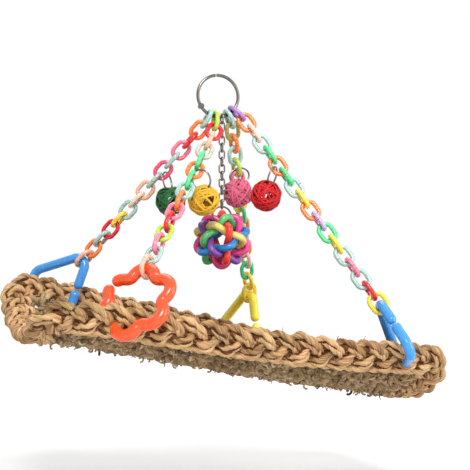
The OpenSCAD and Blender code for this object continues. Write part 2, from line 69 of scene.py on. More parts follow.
# The grass is drawn as the photograph shows it, and departs from the solids there. It sags less across its
# width, hangs up to 14 mm lower along the near side, and its border stands as steep as a deeper mat's edge.
SEEN_SAG, STEEP_SAG = 24.0, 58.0
FAR_DROP, NEAR_DROP, MIDDLE_DROP, CORNER_DROP = 3.0, 6.0, 8.0, 8.0


def unit(v):
    """Vectors made one long: a single one, or rows of them."""
    v = np.asarray(v, float)
    return v / np.linalg.norm(v, axis=-1, keepdims=True)


def across(v, axis):
    """The direction of a vector, squared up against an axis."""
    v = np.asarray(v, float)
    return unit(v - (v @ axis) * axis)


def turned(v, axis, degrees):
    """A vector turned about an axis."""
    a = math.radians(degrees)
    return v * math.cos(a) + np.cross(axis, v) * math.sin(a) + axis * (axis @ v) * (1 - math.cos(a))


def run_along(points):
    """Length from the first point to each point of a path."""
    return np.concatenate([[0], np.cumsum(np.linalg.norm(np.diff(points, axis=0), axis=1))])


def net_at(x, y, sag=SEEN_SAG, dropped=1):
    """Points of the net's middle surface: as drawn, or as the solid has them with its sag and no drop."""
    z = NET_Z0 - x * (NET_TILT + NET_TWIST * y / HALF_W) - sag * (1 - np.abs(y / HALF_W) ** 3)
    near = NEAR_DROP + MIDDLE_DROP * (1 - (x / HALF_L) ** 2) + CORNER_DROP * np.maximum(-x / HALF_L, 0) ** 4
    z = z - dropped * (FAR_DROP + (near - FAR_DROP) * (1 - y / HALF_W) / 2)
    return np.stack([np.broadcast_to(x, np.shape(z)), np.broadcast_to(y, np.shape(z)), z], -1)


def net_frame(x, y, sag=SEEN_SAG, dropped=1):
    """Directions along the net, across it and up from it."""
    h = 0.5
    dx = unit(net_at(x + h, y, sag, dropped) - net_at(x - h, y, sag, dropped))
    dy = unit(net_at(x, y + h, sag, dropped) - net_at(x, y - h, sag, dropped))
    return dx, dy, unit(np.cross(dx, dy))


# Helpers for node trees of both kinds


def node(tree, kind, inputs=None, **settings):
    """A new node with its settings made, and its inputs linked or set."""
    made = tree.nodes.new(kind)
    for key, value in settings.items():
        setattr(made, key, value)
    for key, value in (inputs or {}).items():
        socket = made.inputs[key]
        if isinstance(value, bpy.types.NodeSocket):
            tree.links.new(value, socket)
        else:
            socket.default_value = value
    return made


def math_of(tree, operation, *values):
    return node(tree, "ShaderNodeMath", dict(enumerate(values)), operation=operation).outputs[0]


def times(tree, a, b):
    return math_of(tree, "MULTIPLY", a, b)


def plus(tree, a, b):
    return math_of(tree, "ADD", a, b)


def minus(tree, a, b):
    return math_of(tree, "SUBTRACT", a, b)


def scaled(tree, vector, factor):
    return node(tree, "ShaderNodeVectorMath", {0: vector, "Scale": factor}, operation="SCALE").outputs[0]


# Helpers for shapes


def shape_tree(name, sizes):
    """A geometry tree with named inputs: (name, kind) pairs, after its geometry."""
    tree = bpy.data.node_groups.new(name, "GeometryNodeTree")
    tree.interface.new_socket("Geometry", in_out="INPUT", socket_type="NodeSocketGeometry")
    for label, kind in sizes:
        tree.interface.new_socket(label, in_out="INPUT", socket_type="NodeSocket" + kind)
    tree.interface.new_socket("Geometry", in_out="OUTPUT", socket_type="NodeSocketGeometry")
    return tree, node(tree, "NodeGroupInput").outputs


def end_tree(tree, geometry, material):
    """Closes a geometry tree: smooth, with real meshes for its instances, in one material."""
    smooth = node(tree, "GeometryNodeSetShadeSmooth", {"Geometry": geometry})
    real = node(tree, "GeometryNodeRealizeInstances", {"Geometry": smooth.outputs[0]})
    painted = node(tree, "GeometryNodeSetMaterial", {"Geometry": real.outputs[0], "Material": material})
    node(tree, "NodeGroupOutput", {"Geometry": painted.outputs[0]})
    return tree


def place_of(tree):
    """The place of each point, as a vector and as its three numbers."""
    place = node(tree, "GeometryNodeInputPosition").outputs[0]
    return place, node(tree, "ShaderNodeSeparateXYZ", {0: place}).outputs


def circle(tree, corners, radius):
    sockets = {"Resolution": corners, "Radius": radius}
    return node(tree, "GeometryNodeCurvePrimitiveCircle", sockets).outputs[0]


def round_section(tree, corners, thickness):
    return circle(tree, corners, times(tree, thickness, 0.5))


def moved_to(tree, geometry, place):
    return node(tree, "GeometryNodeSetPosition", {"Geometry": geometry, "Position": place}).outputs[0]


def tube(tree, path, section, **more):
    sockets = {"Curve": path, "Profile Curve": section, **more}
    return node(tree, "GeometryNodeCurveToMesh", sockets).outputs[0]


def random_number(tree, seed, low=0.0, high=1.0):
    """A number for each point, between two limits."""
    sockets = {2: low, 3: high, "Seed": seed}
    return node(tree, "FunctionNodeRandomValue", sockets, data_type="FLOAT").outputs[1]


def random_vector(tree, seed, low, high):
    sockets = {0: low, 1: high, "Seed": seed}
    return node(tree, "FunctionNodeRandomValue", sockets, data_type="FLOAT_VECTOR").outputs[0]


def ranged(tree, value, low, high):
    """A number from 0 to 1, laid over a range."""
    return plus(tree, times(tree, value, high - low), low)


def stored(tree, geometry, name, value, domain="POINT"):
    """The geometry with a number kept on it, for its material to read."""
    sockets = {"Geometry": geometry, "Name": name, "Value": value}
    kept = node(tree, "GeometryNodeStoreNamedAttribute", sockets, data_type="FLOAT", domain=domain)
    return kept.outputs[0]


def grown(name, tree, start_mesh, place=None, **sizes):
    """Runs a geometry tree on a start mesh, and keeps the result as a plain mesh."""
    seed = bpy.data.objects.new(name + "_start", start_mesh)
    scene.collection.objects.link(seed)
    modifier = seed.modifiers.new("grow", "NODES")
    modifier.node_group = tree
    for item in tree.interface.items_tree:
        if item.in_out == "INPUT" and item.name in sizes:
            modifier[item.identifier] = sizes[item.name]
    graph = bpy.context.evaluated_depsgraph_get()
    mesh = bpy.data.meshes.new_from_object(seed.evaluated_get(graph), depsgraph=graph)
    bpy.data.objects.remove(seed)
    if place is not None:
        mesh.transform(place)
    mesh.name = name
    made = bpy.data.objects.new(name, mesh)
    scene.collection.objects.link(made)
    return made


def path_mesh(name, paths, **marks):
    """Paths of points as a mesh of edges, in metres, with one number for each path per mark."""
    points, edges, values = [], [], {k: [] for k in marks}
    for i, (path, closed) in enumerate(paths):
        first, count = len(points), len(path)
        points.extend(map(tuple, np.asarray(path) * MM))
        edges.extend((first + k, first + k + 1) for k in range(count - 1))
        if closed:
            edges.append((first + count - 1, first))
        for key, mark in marks.items():
            values[key].extend([mark[i]] * count)
    mesh = bpy.data.meshes.new(name)
    mesh.from_pydata(points, edges, [])
    for key in values:
        mesh.attributes.new(key, "FLOAT", "POINT")
    for key, numbers in values.items():
        mesh.attributes[key].data.foreach_set("value", numbers)
    return mesh


# Helpers for materials


def new_finish(name, **sockets):
    """A material, its tree and its shader, with constants set on the shader's own sockets."""
    finish = bpy.data.materials.new(name)
    finish.use_nodes = True
    tree = finish.node_tree
    shader = tree.nodes["Principled BSDF"]
    for key, value in sockets.items():
        shader.inputs[key.replace("_", " ")].default_value = value
    return finish, tree, shader


def grain(tree, scale, detail=4.0, stretch=(1, 1, 1), coords=None):
    """Noise on the piece's own coordinates, or on those given."""
    place = coords or node(tree, "ShaderNodeTexCoord").outputs["Object"]
    mapped = node(tree, "ShaderNodeMapping", {"Vector": place, "Scale": stretch}).outputs[0]
    sockets = {"Vector": mapped, "Scale": scale, "Detail": detail}
    return node(tree, "ShaderNodeTexNoise", sockets).outputs[0]


def spread(tree, value, low, high):
    """A number from 0 to 1 laid over a range, and held within it."""
    return node(tree, "ShaderNodeMapRange", {"Value": value, "To Min": low, "To Max": high}).outputs[0]


def number_on(tree, name):
    return node(tree, "ShaderNodeAttribute", attribute_name=name).outputs["Fac"]


def blend_colours(tree, factor, first, second, blend="MIX"):
    mix = node(tree, "ShaderNodeMix", data_type="RGBA", blend_type=blend)
    for index, value in ((0, factor), (6, first), (7, second)):
        socket = mix.inputs[index]
        if isinstance(value, bpy.types.NodeSocket):
            tree.links.new(value, socket)
        elif index:
            socket.default_value = (*value, 1)
        else:
            socket.default_value = value
    return mix.outputs[2]


def surfaced(tree, shader, colour, roughness, bump_from, strength, distance):
    """Links colour and roughness to a shader, with a bump of the given strength and height in metres."""
    tree.links.new(colour, shader.inputs["Base Color"])
    tree.links.new(roughness, shader.inputs["Roughness"])
    bump = node(tree, "ShaderNodeBump", {"Height": bump_from, "Strength": strength, "Distance": distance})
    tree.links.new(bump.outputs[0], shader.inputs["Normal"])


# Materials


def moulded_plastic(name, colour, rough=0.24, cloudy=0.25):
    """Glossy moulded plastic with faint flow marks. With no colour it takes each link's own."""
    finish, tree, shader = new_finish(
        name, Subsurface_Weight=cloudy, Subsurface_Scale=0.003, Coat_Weight=0.25, Coat_Roughness=0.12)
    clouds = grain(tree, 160, 3)
    fine = grain(tree, 1400, 2)
    if colour is None:
        base = node(tree, "ShaderNodeAttribute", attribute_name="link_colour").outputs["Color"]
    else:
        base = node(tree, "ShaderNodeRGB").outputs[0]
        base.default_value = (*colour, 1)
    darker = blend_colours(tree, 0.16, base, base, "MULTIPLY")
    clouded = blend_colours(tree, clouds, darker, base)
    surfaced(tree, shader, clouded, spread(tree, clouds, rough - 0.07, rough + 0.1), fine, 0.12, 0.0002)
    return finish


def plated_steel(name, colour, rough):
    """Nickel plate with dull smudges that are darker in colour as painted dark reflection streaks, and fine
    scratches.
    """
    finish, tree, shader = new_finish(name, Metallic=1.0)
    smudge_and_reflection_streak = grain(tree, 220, 4)
    scratch = grain(tree, 900, 2, (1, 1, 9))
    # Darker colour in the smudges is painted dark reflection; their extra roughness is dullness
    reflection_streaked = blend_colours(tree, smudge_and_reflection_streak, [0.45 * c for c in colour], colour)
    surfaced(tree, shader, reflection_streaked, spread(tree, smudge_and_reflection_streak, rough - 0.06, rough + 0.14), scratch, 0.04, 0.0001)
    return finish


# Steps through the noise: along a metre of cord, from a cord's middle to its skin, and for one step of tone
FIBRES_ALONG, FIBRES_ROUND, FIBRES_APART = 90.0, 2.6, 50.0
RED_CAST, GREEN_CAST = (1.0, 0.94, 0.95), (0.9, 0.94, 0.84)


def dry_grass(name, dark, straw, pale):
    """Twisted dry leaves: a tone for each cord, streaks along it, dark hollows painted as shade by the low
    tone of the border's dark cords, paler streaks that are partly a painted highlight, and a mixed cast.
    """
    finish, tree, shader = new_finish(name, Specular_IOR_Level=0.3)
    tone = number_on(tree, "tone")
    angle = times(tree, number_on(tree, "around"), 2 * math.pi)
    sideways = times(tree, math_of(tree, "SINE", angle), FIBRES_ROUND)
    upwards = times(tree, math_of(tree, "COSINE", angle), FIBRES_ROUND)
    coords = node(tree, "ShaderNodeCombineXYZ", {
        "X": times(tree, number_on(tree, "along"), FIBRES_ALONG),
        "Y": sideways,
        "Z": plus(tree, upwards, times(tree, tone, FIBRES_APART)),
    }).outputs[0]
    fibres = grain(tree, 1.0, 5, coords=coords)
    patches = grain(tree, 45, 3)
    # A low tone darkens a cord: on the border's dark cords this is painted shade
    paleness = plus(tree, tone, patches)
    lit = plus(tree, spread(tree, fibres, -1.4, 2.6), times(tree, paleness, 0.7))
    deep = blend_colours(tree, minus(tree, lit, 0.65), dark, straw)
    # Paler streaks where tone and fibres run high: partly paler fibres, partly a painted highlight
    pale_fibre_and_highlight = times(tree, spread(tree, paleness, -0.5, 0.85), spread(tree, fibres, -0.4, 1.7))
    ripe = blend_colours(tree, pale_fibre_and_highlight, deep, pale)
    cast = blend_colours(tree, spread(tree, grain(tree, 70, 2), -1.0, 2.2), RED_CAST, GREEN_CAST)
    colour = blend_colours(tree, 1.0, ripe, cast, "MULTIPLY")
    surfaced(tree, shader, colour, spread(tree, fibres, 0.85, 0.55), fibres, 0.5, 0.0009)
    return finish


def dyed_cane(name, colour):
    """Dyed cane, each band with a tone of its own, streaked along its grain."""
    finish, tree, shader = new_finish(name, Specular_IOR_Level=0.35)
    streaks = grain(tree, 420, 4)
    shade = spread(tree, plus(tree, number_on(tree, "tone"), streaks), -0.1, 0.75)
    dyed = blend_colours(tree, shade, [0.42 * c for c in colour], colour)
    surfaced(tree, shader, dyed, spread(tree, streaks, 0.4, 0.75), streaks, 0.5, 0.0006)
    return finish


LINK_ROUGH, LINK_CLOUDY = 0.26, 0.35
# Both nickels are coloured far darker than real nickel, as painted dark reflection
STEEL = plated_steel("bright nickel plate", (0.23, 0.215, 0.195), 0.13)
DULL_STEEL = plated_steel("dull nickel wire", (0.27, 0.255, 0.235), 0.2)
LINK_PLASTIC = moulded_plastic("clear coloured link plastic", None, LINK_ROUGH, LINK_CLOUDY)
BLUE = moulded_plastic("blue clip plastic", (0.045, 0.33, 0.8))
ORANGE = moulded_plastic("orange clip plastic", (0.95, 0.088, 0.01))
YELLOW = moulded_plastic("yellow clip plastic", (1.0, 0.83, 0.05))
GRASS = dry_grass("dry grass cord", (0.1, 0.027, 0.003), (0.52, 0.26, 0.085), (0.88, 0.59, 0.33))
# The mat's grass is a darker copy of the cord grass, as painted shade on the mat's underside
SHADED_MAT_GRASS = dry_grass("shaded mat grass", (0.042, 0.017, 0.003), (0.275, 0.155, 0.056), (0.62, 0.43, 0.245))
SCRUFF = dry_grass("loose grass fibre", (0.042, 0.018, 0.004), (0.27, 0.155, 0.062), (0.78, 0.59, 0.41))

# Chains of plastic links, whose colours run from the ring down to the clip

PALETTE = {
    "ice": (0.4, 0.6, 0.55),
    "orange": (0.93, 0.24, 0.04),
    "red": (0.72, 0.014, 0.03),
    "pink": (0.93, 0.24, 0.36),
    "peach": (0.9, 0.5, 0.36),
    "cream": (0.84, 0.68, 0.56),
    "yellow": (1.0, 0.74, 0.06),
    "lime": (0.5, 0.7, 0.08),
    "purple": (0.43, 0.2, 0.6),
    "mint": (0.08, 0.72, 0.27),
    "lilac": (0.62, 0.42, 0.72),
    "olive": (0.42, 0.42, 0.1),
    "white": (0.6, 0.57, 0.5),
    "rose": (0.9, 0.09, 0.22),
}
LINK_ORDER = {
    "left": "orange red pink ice rose ice peach cream ice yellow red ice orange",
    "front": "red peach white mint orange mint ice orange pink red lime pink ice",
    "back": "olive orange ice lime pink ice yellow mint orange ice orange cream mint yellow",
    "right": "orange cream ice mint orange mint ice yellow orange lilac mint yellow ice pink ice red",
}
TOP_COLOURS = {"left": "ice", "front": "lime", "back": "ice", "right": "purple"}
END_COLOURS = {"left": "peach", "front": "peach", "back": "yellow", "right": "yellow"}
LINK_OPENING = 0.35
# How much a round link is drawn out at its sides to make it an oval, and half its opening before that, as
# a share of the finished one
LEG_STRETCH, OPENING_SHARE = 8.0, 0.055

in_radius = CLIP_SIDE / (2 * math.sqrt(3))
apex_height = 2 * in_radius - CLIP_CORNER
chain_angle = TOY_ANGLE + np.array([-2, -1, 1, 2]) * CHAIN_SPREAD
chain_lean = np.array([1, -1, 1, -1]) * TOP_LEAN
# Where each clip holds the border, which way it faces and how thick its bar is
held_xy = [(-112.0, HALF_W), (-86.0, -HALF_W), (46.0, HALF_W), (112.0, -HALF_W)]
clip_normal = [unit(n) for n in ([0.7, 0.69, -0.2], [-0.6, -0.6, 0.53], [0.93, 0.37, 0], [0.9, -0.2, 0.38])]
clip_thick = [CLIP_BAR, FLOWER_BAR, CLIP_BAR, CLIP_BAR]


def clip_rise(i, up, side):
    """Height of a clip's top, where its chain holds it, above the middle of the border that lies in it."""
    if SIDES[i] == "front":
        lean = math.cos(math.pi / 6)
        dip = LOBE_OUT * lean + math.sqrt((LOBE_R + DIP_R) ** 2 - (LOBE_OUT / 2) ** 2) - DIP_R
        seat = FLOWER_BAR / 2 + PLAY + BRAID_T / 2 + FLOWER_SEAT * BRAID_W / 2
        return dip * lean - seat + LOBE_OUT + LOBE_R
    dx, dy, mat_up = net_frame(*held_xy[i], NET_SAG, 0)
    way = unit(np.cross(side, dx))
    half = math.hypot(way @ dy * BRAID_W, way @ mat_up * BRAID_T) / 2
    return in_radius - (half + CLIP_BAR / 2 + PLAY) / abs(way @ up) + apex_height


def chain_links(i):
    """Middles and turns of one chain's links, and their clear length, as the solids have them."""
    a = math.radians(chain_angle[i])
    out, along = np.array([math.sin(a), 0, -math.cos(a)]), np.array([math.cos(a), 0, math.sin(a)])
    down = turned(out, along, chain_lean[i])
    hang = LINK_INSIDE + LINK_WIRE - (RING_WIRE + LINK_WIRE) / 2 - PLAY
    top_end = RING_MID + out * RING_R + down * hang
    bar = unit(np.cross(down, along))
    held = net_at(*held_xy[i], NET_SAG, 0)
    up = across(top_end - held, clip_normal[i])
    side = np.cross(clip_normal[i], up)
    clip_top = held + up * clip_rise(i, up, side)
    pull = unit(top_end - clip_top)
    first = across(bar, pull)
    last = across(side, pull)
    rise = (LINK_WIRE + PLAY) / abs(pull @ unit(np.cross(bar, np.cross(pull, first))))
    below = clip_thick[i] / 2 + PLAY + LINK_WIRE / 2
    run = np.linalg.norm(top_end - clip_top) + rise + below - END_INSIDE - LINK_WIRE
    count = round(run / (LINK_INSIDE - PLAY))
    pitch = run / count
    twist = math.degrees(math.atan2(np.cross(first, last) @ pull, first @ last)) - 90 * count
    twist = (twist - 180 * round(twist / 180)) / count
    links = []
    for j in range(count):
        normal = turned(first, pull, (90 + twist) * j)
        middle = top_end + pull * (rise - j * pitch - (pitch + PLAY + LINK_WIRE) / 2)
        links.append((middle, Matrix(np.stack([np.cross(normal, pull), normal, pull], 1).tolist())))
    return links, pitch + PLAY


def link_tree():
    """Open oval links, one at each point of the start mesh."""
    tree, given = shape_tree("open oval links", [
        ("Clear Length", "Float"), ("Clear Width", "Float"), ("Wire", "Float"), ("Opening", "Float"),
        ("Plastic", "Material")])
    bend = times(tree, plus(tree, given["Clear Width"], given["Wire"]), 0.5)
    leg = times(tree, minus(tree, given["Clear Length"], given["Clear Width"]), 0.5)
    gap = math_of(tree, "DIVIDE", times(tree, given["Opening"], OPENING_SHARE), bend)
    sweep = minus(tree, 2 * math.pi, times(tree, gap, 2.0))
    arc = node(tree, "GeometryNodeCurveArc", {
        "Resolution": 37, "Radius": bend, "Start Angle": gap, "Sweep Angle": sweep})
    _, parts = place_of(tree)
    shift = math_of(tree, "MINIMUM", times(tree, parts[1], LEG_STRETCH), leg)
    shift = math_of(tree, "MAXIMUM", shift, times(tree, leg, -1.0))
    stood = node(tree, "ShaderNodeCombineXYZ", {"X": parts[0], "Z": plus(tree, parts[1], shift)})
    oval = moved_to(tree, arc.outputs[0], stood.outputs[0])
    link = tube(tree, oval, round_section(tree, 14, given["Wire"]), **{"Fill Caps": True})
    turn = node(tree, "GeometryNodeInputNamedAttribute", {"Name": "link_turn"}, data_type="QUATERNION")
    placed = node(tree, "GeometryNodeInstanceOnPoints", {
        "Points": given["Geometry"], "Instance": link, "Rotation": turn.outputs[0]})
    return end_tree(tree, placed.outputs[0], given["Plastic"])


def refinish(name, finish):
    """Gives a CAD node its finish."""
    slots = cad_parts[name].data.materials
    slots.clear()
    slots.append(finish)


oval_links = link_tree()
for i, side in enumerate(SIDES):
    links, inside = chain_links(i)
    colours = LINK_ORDER[side].split()
    start = bpy.data.meshes.new(side)
    start.from_pydata([tuple(middle * MM) for middle, _ in links], [], [])
    start.attributes.new("link_turn", "QUATERNION", "POINT")
    start.attributes.new("link_colour", "FLOAT_COLOR", "POINT")
    turns = [number for _, turn in links for number in turn.to_quaternion()]
    shades = [number for j in range(len(links)) for number in (*PALETTE[colours[j % len(colours)]], 1.0)]
    start.attributes["link_turn"].data.foreach_set("value", turns)
    start.attributes["link_colour"].data.foreach_set("color", shades)
    chain = grown("plastic_links_" + side, oval_links, start, **{
        "Clear Length": inside * MM,
        "Clear Width": LINK_GAP_W * MM,
        "Wire": LINK_WIRE * MM,
        "Opening": LINK_OPENING * MM,
        "Plastic": LINK_PLASTIC,
    })
    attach(chain, "net")
    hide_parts("chain_" + side)

link_finishes = {}
for side in SIDES:
    for part, names in (("top_link_", TOP_COLOURS), ("end_link_", END_COLOURS)):
        shade = names[side]
        if shade not in link_finishes:
            link_finishes[shade] = moulded_plastic(
                shade + " link plastic", PALETTE[shade], LINK_ROUGH, LINK_CLOUDY)
        refinish(part + side, link_finishes[shade])
    refinish("wicker_ring_" + side, DULL_STEEL)
for finish, names in (
    (BLUE, ("clip_left", "clip_right")),
    (ORANGE, ("clip_front",)),
    (YELLOW, ("clip_back",)),
    (STEEL, ("ring_body", "ring_gate")),
    (DULL_STEEL, ("ring_rivet", "toy_jump_ring", "toy_chain", "toy_ball_ring")),
):
    for name in names:
        refinish(name, finish)

# Woven grass: twisted cords that follow given paths

CORD_CORNERS, BULGE_SCALE, THINNEST, THICKEST = 10, 140.0, 0.84, 1.16


def cord_tree():
    """Cords of two plies along the paths of the start mesh, as thick as each path's girth says."""
    tree, given = shape_tree("twisted cords", [
        ("Thickness", "Float"), ("Twist Length", "Float"), ("Step", "Float"), ("Ply Depth", "Float"),
        ("Straw", "Material")])
    curves = node(tree, "GeometryNodeMeshToCurve", {"Mesh": given["Geometry"]}).outputs[0]
    even = node(tree, "GeometryNodeResampleCurve", {
        "Curve": curves, "Length": given["Step"]}, mode="LENGTH")
    calm = node(tree, "GeometryNodeSetCurveNormal", {"Curve": even.outputs[0]}, mode="MINIMUM_TWIST")
    length = node(tree, "GeometryNodeSplineParameter").outputs["Length"]
    tilt = times(tree, math_of(tree, "DIVIDE", length, given["Twist Length"]), 2 * math.pi)
    twisted = node(tree, "GeometryNodeSetCurveTilt", {"Curve": calm.outputs[0], "Tilt": tilt})
    marked = stored(tree, twisted.outputs[0], "along", length)
    girth = node(tree, "GeometryNodeInputNamedAttribute", {"Name": "girth"}, data_type="FLOAT").outputs[0]
    bulge = node(tree, "ShaderNodeTexNoise", {"Scale": BULGE_SCALE, "Detail": 2.0}).outputs[0]
    thick = times(tree, girth, ranged(tree, bulge, THINNEST, THICKEST))
    path = node(tree, "GeometryNodeSetCurveRadius", {"Curve": marked, "Radius": thick}).outputs[0]

    place, parts = place_of(tree)
    angle = math_of(tree, "ARCTAN2", parts[1], parts[0])
    waist = math_of(tree, "POWER", math_of(tree, "ABSOLUTE", math_of(tree, "SINE", angle)), 2.0)
    left_over = minus(tree, 1.0, times(tree, waist, given["Ply Depth"]))
    ring = round_section(tree, CORD_CORNERS, given["Thickness"])
    lobed = moved_to(tree, ring, scaled(tree, place, left_over))
    around = node(tree, "GeometryNodeSplineParameter").outputs["Factor"]
    section = stored(tree, lobed, "around", around)
    width = node(tree, "GeometryNodeInputRadius").outputs[0]
    cords = tube(tree, path, section, **{"Scale": width, "Fill Caps": True})
    return end_tree(tree, cords, given["Straw"])


twisted_cords = cord_tree()
chance = np.random.default_rng(7)

# Border: three strands, each of two pale cords with a thin dark one between as painted shade in the gap,
# plaited flat round the outline. Dark cords run inside the plait as painted shade seen through its gaps, and
# one pale cord runs along its inner edge.

STRAIGHT_STEPS, CORNER_STEPS, BORDER_STEPS = 60, 12, 620
PLAIT_LENGTH, PLAIT_SWING, PLAIT_RISE = 52.0, 8.0, 3.4
# Each cord's place across its strand and its lift
STRAND_CORDS = ((-2.4, 0.4), (2.4, -0.4), (0, 0))
PALE_CORDS, PALE_TONES, PALE_GIRTHS = 2, (0.1, 0.9), (0.88, 1.14)
# The thin dark cord's low tone is painted shade for the gap between a strand's pale cords
SHADE_CORD_TONE, SHADE_CORD_GIRTH = -0.8, 0.75
# How far a cord strays sideways and at how many points, and what share of that it strays upwards, and how
# many steps later
WANDER, WANDER_POINTS, LIFT_SHARE, LIFT_LAG = 0.45, 40, 0.6, 90
# Each straight cord's place across the border, outwards, and its tone. The three inside the plait are dark
# as painted shade seen through its gaps, and the last is the pale cord along the inner edge.
STRAIGHT_CORDS = ((-4.2, -0.45), (0, -0.45), (4.2, -0.45), (-10.8, 0.65))
STRAIGHT_GIRTH = 0.95

straight_x, straight_y = HALF_L - BRAID_CORNER, HALF_W - BRAID_CORNER
outline, outwards = [], []
for from_xy, to_xy, out in (
    ((-straight_x, -HALF_W), (straight_x, -HALF_W), -90),
    ((HALF_L, -straight_y), (HALF_L, straight_y), 0),
    ((straight_x, HALF_W), (-straight_x, HALF_W), 90),
    ((-HALF_L, straight_y), (-HALF_L, -straight_y), 180),
):
    a = math.radians(out)
    for k in range(STRAIGHT_STEPS):
        outline.append(np.array(from_xy) + (np.array(to_xy) - from_xy) * k / STRAIGHT_STEPS)
        outwards.append((math.cos(a), math.sin(a)))
    middle = np.array(to_xy) - BRAID_CORNER * np.array([math.cos(a), math.sin(a)])
    for k in range(CORNER_STEPS):
        b = a + math.radians(90 * k / CORNER_STEPS)
        outline.append(middle + BRAID_CORNER * np.array([math.cos(b), math.sin(b)]))
        outwards.append((math.cos(b), math.sin(b)))
outline, outwards = np.array(outline), np.array(outwards)
line = net_at(outline[:, 0], outline[:, 1])
run_on = run_along(np.vstack([line, line[:1]]))
border_run = run_on[-1]


def border_frame(s):
    """Points at given lengths round the border's middle, with the directions outwards and up there."""
    xy = np.stack([np.interp(s, run_on, np.append(outline[:, k], outline[0, k])) for k in (0, 1)], 1)
    out = np.stack([np.interp(s, run_on, np.append(outwards[:, k], outwards[0, k])) for k in (0, 1)], 1)
    dx, dy, up = net_frame(xy[:, 0], xy[:, 1], STEEP_SAG)
    return net_at(xy[:, 0], xy[:, 1]), unit(dx * out[:, :1] + dy * out[:, 1:]), up


plait_rate = 2 * math.pi * round(border_run / PLAIT_LENGTH) / border_run
border_paths, border_tone_and_shade, border_girth = [], [], []
steps = np.linspace(0, border_run, BORDER_STEPS, endpoint=False)
point, out3, up = border_frame(steps)
for strand in range(3):
    swing = plait_rate * steps + 2 * math.pi * strand / 3
    lateral, height = PLAIT_SWING * np.sin(swing), PLAIT_RISE * np.sin(2 * swing)
    slope = np.arctan2(PLAIT_SWING * plait_rate * np.cos(swing), 1)
    for cord, (cord_place, cord_lift) in enumerate(STRAND_CORDS):
        wander = chance.normal(0, WANDER, WANDER_POINTS)
        knots = np.linspace(0, border_run, WANDER_POINTS + 1)
        loose = np.interp(steps, knots, np.append(wander, wander[0]))
        place = cord_place + loose
        lift = cord_lift + LIFT_SHARE * np.roll(loose, LIFT_LAG)
        path = point + out3 * (lateral + place * np.cos(slope))[:, None] + up * (height + lift)[:, None]
        ahead = unit(np.roll(path, -1, 0) - np.roll(path, 1, 0))
        border_paths.append((path - ahead * (place * np.sin(slope))[:, None], True))
        border_tone_and_shade.append(chance.uniform(*PALE_TONES) if cord < PALE_CORDS else SHADE_CORD_TONE)
        border_girth.append(chance.uniform(*PALE_GIRTHS) if cord < PALE_CORDS else SHADE_CORD_GIRTH)
for shift, tone in STRAIGHT_CORDS:
    border_paths.append((point + out3 * shift, True))
    border_tone_and_shade.append(tone)
    border_girth.append(STRAIGHT_GIRTH)
border_start = path_mesh("border", border_paths, tone=border_tone_and_shade, girth=border_girth)
border = grown("plaited_border", twisted_cords, border_start, **{
    "Thickness": 5.9 * MM, "Twist Length": 19 * MM, "Step": 1.7 * MM, "Ply Depth": 0.42, "Straw": GRASS})
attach(border, "net")
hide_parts("net_border")

# Mat: cords woven over and under between the borders

CORD_SPACING, WEAVE_RISE, CORD_STEP = 9.6, 2.4, 2.4
END_MARGIN, SIDE_MARGIN = 8.0, 5.0
FIRST_WEFT, FIRST_WARP, LAST_WARP = 3, 5, 2
WARP_SWAY, WARP_SWAYS = 0.7, 30
WEFT_SWAY, WEFT_SWAYS = 0.8, 24
MAT_TONES, MAT_GIRTHS = (0, 0.8), (0.9, 1.15)
ARC_POINTS = 400

edge_x, edge_y = HALF_L - END_MARGIN, HALF_W - SIDE_MARGIN
arc_y = np.linspace(-edge_y, edge_y, ARC_POINTS)
arc = run_along(net_at(0.0 * arc_y, arc_y))
wefts = np.arange(-edge_x + FIRST_WEFT, edge_x, CORD_SPACING)
warps = np.interp(np.arange(FIRST_WARP, arc[-1] - LAST_WARP, CORD_SPACING), arc, arc_y)
mat_paths, mat_tone, mat_girth = [], [], []


def lay_cord(x, y, wave):
    """Adds one cord of the mat, with a tone and a girth of its own."""
    mat_paths.append((net_at(x, y) + net_frame(x, y)[2] * wave[:, None], False))
    mat_tone.append(chance.uniform(*MAT_TONES))
    mat_girth.append(chance.uniform(*MAT_GIRTHS))


for k, warp_y in enumerate(warps):
    x = np.arange(-edge_x, edge_x, CORD_STEP)
    sway = chance.normal(0, WARP_SWAY, WARP_SWAYS)
    y = warp_y + np.interp(x, np.linspace(-edge_x, edge_x, WARP_SWAYS), sway)
    lay_cord(x, y, WEAVE_RISE * np.cos(math.pi * ((x + edge_x - FIRST_WEFT) / CORD_SPACING + k)))
for k, weft_x in enumerate(wefts):
    y = np.interp(np.arange(0, arc[-1], CORD_STEP), arc, arc_y)
    sway = chance.normal(0, WEFT_SWAY, WEFT_SWAYS)
    x = weft_x + np.interp(y, np.linspace(-edge_y, edge_y, WEFT_SWAYS), sway)
    lay_cord(x, y, -WEAVE_RISE * np.cos(math.pi * (np.interp(y, warps, np.arange(len(warps))) + k)))
mat_start = path_mesh("mat", mat_paths, tone=mat_tone, girth=mat_girth)
mat = grown("woven_mat", twisted_cords, mat_start, **{
    "Thickness": 5.6 * MM, "Twist Length": 18 * MM, "Step": 2.6 * MM, "Ply Depth": 0.4, "Straw": SHADED_MAT_GRASS})
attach(mat, "net")
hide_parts("net_body")

# Frayed loops and loose fibres of grass on the mat and its border

FIBRE_LEAN, FIBRE_SPIN = 0.9, 6.283
FIBRE_SMALLEST, FIBRE_LARGEST = 0.5, 1.35


